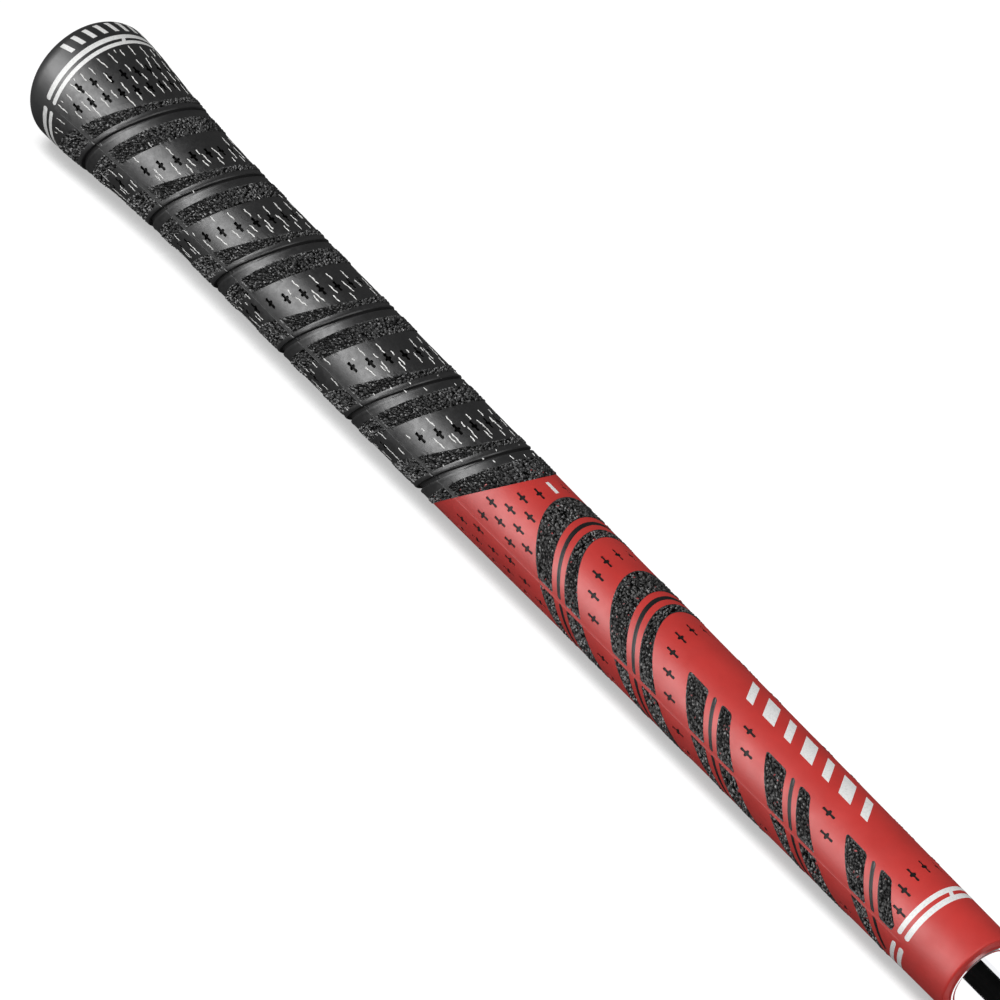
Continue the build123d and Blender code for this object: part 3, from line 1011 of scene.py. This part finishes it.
black_rubber = rubber("black_rubber", (0.012, 0.012, 0.0125), (0.017, 0.017, 0.0175), 0.45)
# Their top colour is a painted highlight on the raised grain, and their hollow colour is painted shade.
corded_rubber = pebbled_rubber(
    "corded_rubber", (0.016, 0.016, 0.0165), top=0.07, hollow_shade=0.001, red_tips=0.1, roughness=0.44)
inlay_rubber = pebbled_rubber(
    "inlay_rubber", (0.02, 0.0195, 0.0195), (0.12, 0.115, 0.112), hollow_shade=0.001, red_tips=0.16,
    roughness=0.46)
red_rubber = rubber("red_rubber", (0.50, 0.031, 0.026), (0.58, 0.038, 0.032), 0.5, specular=0.35)
black_fill = rubber("black_fill", (0.004, 0.003, 0.003), (0.008, 0.006, 0.006), 0.6, specular=0.15)
rib_rubber = rubber("rib_rubber", 0.005, 0.009, 0.42, specular=0.35)
white_paint, cotton, chrome_steel, buff_tape = paint(), cord(), chrome(), tape()

cross = cross_outline()
pit_cross = cross_outline(length=1.5, thick=0.24, tie=0.62, half_tie=0.3)
red_crosses, black_crosses = red_marks(), black_marks()
flecks = fleck_places()

for side in ("front", "back"):
    front = side == "front"

    pits = Builder()
    # The pits' floors and walls get the pebbled rubber's hollow colour: partly the black fill of the marks,
    # partly painted shade.
    for x, angle in on_side(black_crosses, front):
        decal(pits, pit_cross, x, angle, CUTTER_TOP, -PIT, (-1.0, -1.5))
    sleeve = cut(black_half(front), pits.mesh("pits"))
    piece(f"corded_sleeve_{side}", sleeve, corded_rubber, f"upper_panel_{side}")

    wide, wide_pockets = pebbled_inlays(WIDE, front, 20.0)
    narrow, narrow_pockets = pebbled_inlays(NARROW, front, 40.0, skip_last_back=True)
    ribs, rib_pockets = rib_inlays(front)
    marks, mark_pockets = Builder(), Builder()
    for x, angle in on_side(red_crosses, front):
        decal(marks, cross, x, angle, -0.14, -PIT + 0.02)
        decal(mark_pockets, cross, x, angle, CUTTER_TOP, -PIT)
    body = red_half(front)
    for pockets in (wide_pockets, narrow_pockets, rib_pockets, mark_pockets):
        body = cut(body, pockets.mesh("pockets"))
    piece(f"red_sleeve_{side}", body, red_rubber, f"lower_panel_{side}")
    piece(f"wide_pebbled_{side}", wide, inlay_rubber, f"wide_inlays_{side}")
    piece(f"narrow_pebbled_{side}", narrow, inlay_rubber, f"narrow_inlays_{side}")
    piece(f"thin_ribs_{side}", ribs, rib_rubber, f"rib_inlays_{side}")
    piece(f"crosses_{side}", marks.mesh("marks"), black_fill, f"cross_marks_{side}")

    cords = Builder()
    for x, angle, length in on_side(flecks, front):
        fleck(cords, x, angle, length)
    piece(f"cord_flecks_{side}", cords.mesh("flecks"), cotton, f"cord_strands_{side}")

    for end, rings, r in (("cap", CAP_RINGS, 13.8), ("mouth", MOUTH_RINGS, 8.4)):
        painted = paint_rings(rings, RING_ENDS[end], degrees_of(TIE_WIDTH, r), front)
        piece(f"{end}_rings_{side}", painted, white_paint, f"{end}_ring_paint_{side}")

piece("cap_body", cap_mesh(), black_rubber, "butt_cap")
shaft = piece("shaft_tube", shaft_mesh(), chrome_steel, "shaft_butt")
piece("cap_bars", cap_bars(), white_paint, "cap_motif_paint")
piece("front_bars", front_bars(), white_paint, "front_motif_paint")
dash = Builder()
strip(dash, (149.1, 152.3), (-2.2, 2.2), rows=6, cols=8, round_ends=False)
piece("alignment_dash", dash.mesh("dash"), white_paint, "alignment_mark")

inner_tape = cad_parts["grip_tape"]
inner_tape.data.materials.clear()
inner_tape.data.materials.append(buff_tape.material)

# --- Stage, camera and light ------------------------------

AXIS_TILT = radians(31.4)
SCREEN_SLOPE = radians(45.21)
FRONT_TURN = radians(50)
CAP_SEEN_AT = Vector((-84.17, 85.93, -852.0)) * MM


def camera_matrix():
    """The camera's place: the grip's axis leans towards it by the tilt, and runs down at the slope."""
    down = Vector((cos(SCREEN_SLOPE), -sin(SCREEN_SLOPE), 0))
    across = Vector((sin(SCREEN_SLOPE), cos(SCREEN_SLOPE), 0))
    along = cos(AXIS_TILT) * down + Vector((0, 0, sin(AXIS_TILT)))
    facing = Vector((0, 0, cos(AXIS_TILT))) - sin(AXIS_TILT) * down
    up = sin(FRONT_TURN) * across + cos(FRONT_TURN) * facing
    side = cos(FRONT_TURN) * across - sin(FRONT_TURN) * facing
    turn = Matrix((along, side, up))
    return Matrix.Translation(turn @ -CAP_SEEN_AT) @ turn.to_4x4()


# The grip lies on its cap and its mouth, so the floor rises a little under its thinner end.
FLOOR_GAP = 0.05
FLOOR_Z = -(CAP_RADIUS + FLOOR_GAP) * MM
FLOOR_RISE = (CAP_RADIUS - MOUTH_RADIUS) / (GRIP_LENGTH - CAP_CORNER)
FLOOR_REACH = 6


def sheet(name, centre, across, along, made):
    """A flat rectangle that is part of the stage, reaching from its centre by two vectors."""
    mesh = bpy.data.meshes.new(name)
    corners = ((-1, -1), (1, -1), (1, 1), (-1, 1))
    mesh.from_pydata([centre + x * across + y * along for x, y in corners], [], [(0, 1, 2, 3)])
    mesh.materials.append(made.material)
    obj = add_object(name, mesh)
    obj.visible_shadow = False
    return obj


# The floor: grey to the light that bounces off it; to the camera an even pale glow, darkened near the grip
# by ambient occlusion into a painted contact shadow.
pale = Material("floor_paper", 0.9, specular=0.0)
pale.colour(pale.ramp(pale.noise(40, 3), [(0.3, 0.15), (0.7, 0.16)]))
painted_contact_shadow = pale.node("ShaderNodeAmbientOcclusion", samples=16)
painted_contact_shadow.inputs["Distance"].default_value = 0.006
shade = pale.ramp(painted_contact_shadow.outputs["AO"], [(0.25, 0.45), (0.55, 0.97)])
seen = pale.node("ShaderNodeLightPath").outputs["Is Camera Ray"]
pale.link(pale.mix(seen, (0, 0, 0), shade), pale.shader.inputs["Emission Color"])
pale.shader.inputs["Emission Strength"].default_value = 1.0
floor_centre = Vector((0, 0, FLOOR_Z - FLOOR_RISE * CAP_CORNER * MM))
sheet("floor", floor_centre, FLOOR_REACH * Vector((1, 0, FLOOR_RISE)), FLOOR_REACH * Vector((0, 1, 0)), pale)

camera = add_object("camera", bpy.data.cameras.new("camera"))
camera.data.lens = 153
camera.data.sensor_width = 36
camera.data.clip_start = 0.05
camera.matrix_world = camera_matrix()
bpy.context.scene.camera = camera

# Directions: X runs along the grip. Across it, FACING is the side turned to the camera, and BESIDE a quarter
# turn from that towards the upper right of the picture.
FACING = Vector((0, -sin(FRONT_TURN), cos(FRONT_TURN)))
BESIDE = Vector((0, cos(FRONT_TURN), sin(FRONT_TURN)))
MIDDLE = Vector((0.14, 0, 0))
MOUTH = Vector((GRIP_LENGTH * MM, 0, 0))


def area_light(name, centre, size, power, facing):
    """A square soft box at a place, which shines against the given direction."""
    light = add_object(name, bpy.data.lights.new(name, "AREA"))
    light.data.shape = "RECTANGLE"
    light.data.size = light.data.size_y = size
    light.data.energy = power
    light.location = centre
    light.rotation_mode = "QUATERNION"
    light.rotation_quaternion = facing.to_track_quat("Z", "Y")
    light.visible_camera = False
    return light


def towards(along, turn):
    """Unit direction with a share along the grip, turned by some degrees from FACING towards BESIDE."""
    turn = radians(turn)
    return Vector((along, 0, 0)) + (1 - along**2) ** 0.5 * (cos(turn) * FACING + sin(turn) * BESIDE)


# Where each light stands, its size in metres and its power
lights = {
    "key": (towards(-0.4, -30), 0.6, 5.0),
    "top": (towards(0.55, 32), 0.7, 7.6),
    "sheen": (towards(-0.5, -22), 0.9, 22.0),
}
all_but_shaft = bpy.data.collections.new("all_but_shaft")
all_but_shaft.objects.link(shaft)
all_but_shaft.collection_objects[0].light_linking.link_state = "EXCLUDE"
for name, (direction, size, power) in lights.items():
    light = area_light(name, MIDDLE + direction, size, power, direction)
    light.light_linking.receiver_collection = all_but_shaft
    light.visible_diffuse = name != "sheen"

# A dark card that the shaft mirrors down its middle, and white cards at its sides that light only the shaft.
MIRRORED = towards(-sin(AXIS_TILT), 0)
spread, reach = 1.8 * BESIDE, 0.7 * MIRRORED.cross(BESIDE)
centre = MOUTH + 1.4 * MIRRORED - 0.25 * BESIDE
black_cloth = Material("black_cloth", 1.0, specular=0.0)
black_cloth.colour(black_cloth.ramp(black_cloth.noise(30, 3), [(0.3, 0.015), (0.7, 0.03)]))
card = sheet("card", centre, spread, reach, black_cloth)
card.visible_camera = card.visible_diffuse = False

only_shaft = bpy.data.collections.new("only_shaft")
only_shaft.objects.link(shaft)
under = Vector((FLOOR_RISE, 0, -1)).normalized()
white_card_size, white_card_power = 2.0, 14.0
floor_place = Vector((0, -0.9, FLOOR_Z)) - 0.001 * under
side_place = MOUTH + BESIDE + 0.3 * MIRRORED
floor_card = area_light("floor_card", floor_place, white_card_size, white_card_power, under)
side_card = area_light("side_card", side_place, white_card_size, white_card_power, BESIDE)
for light in (floor_card, side_card):
    light.light_linking.receiver_collection = only_shaft

world = bpy.data.worlds.new("studio")
bpy.context.scene.world = world
world.use_nodes = True
world_tree = world.node_tree
rays = world_tree.nodes.new("ShaderNodeLightPath")
strength = world_tree.nodes.new("ShaderNodeMapRange")
strength.inputs["To Min"].default_value = 0.15
strength.inputs["To Max"].default_value = 1.0
world_tree.links.new(rays.outputs["Is Camera Ray"], strength.inputs["Value"])
world_tree.links.new(strength.outputs[0], world_tree.nodes["Background"].inputs["Strength"])
world_tree.nodes["Background"].inputs["Color"].default_value = (1, 1, 1, 1)
bpy.context.scene.view_settings.view_transform = "Standard"
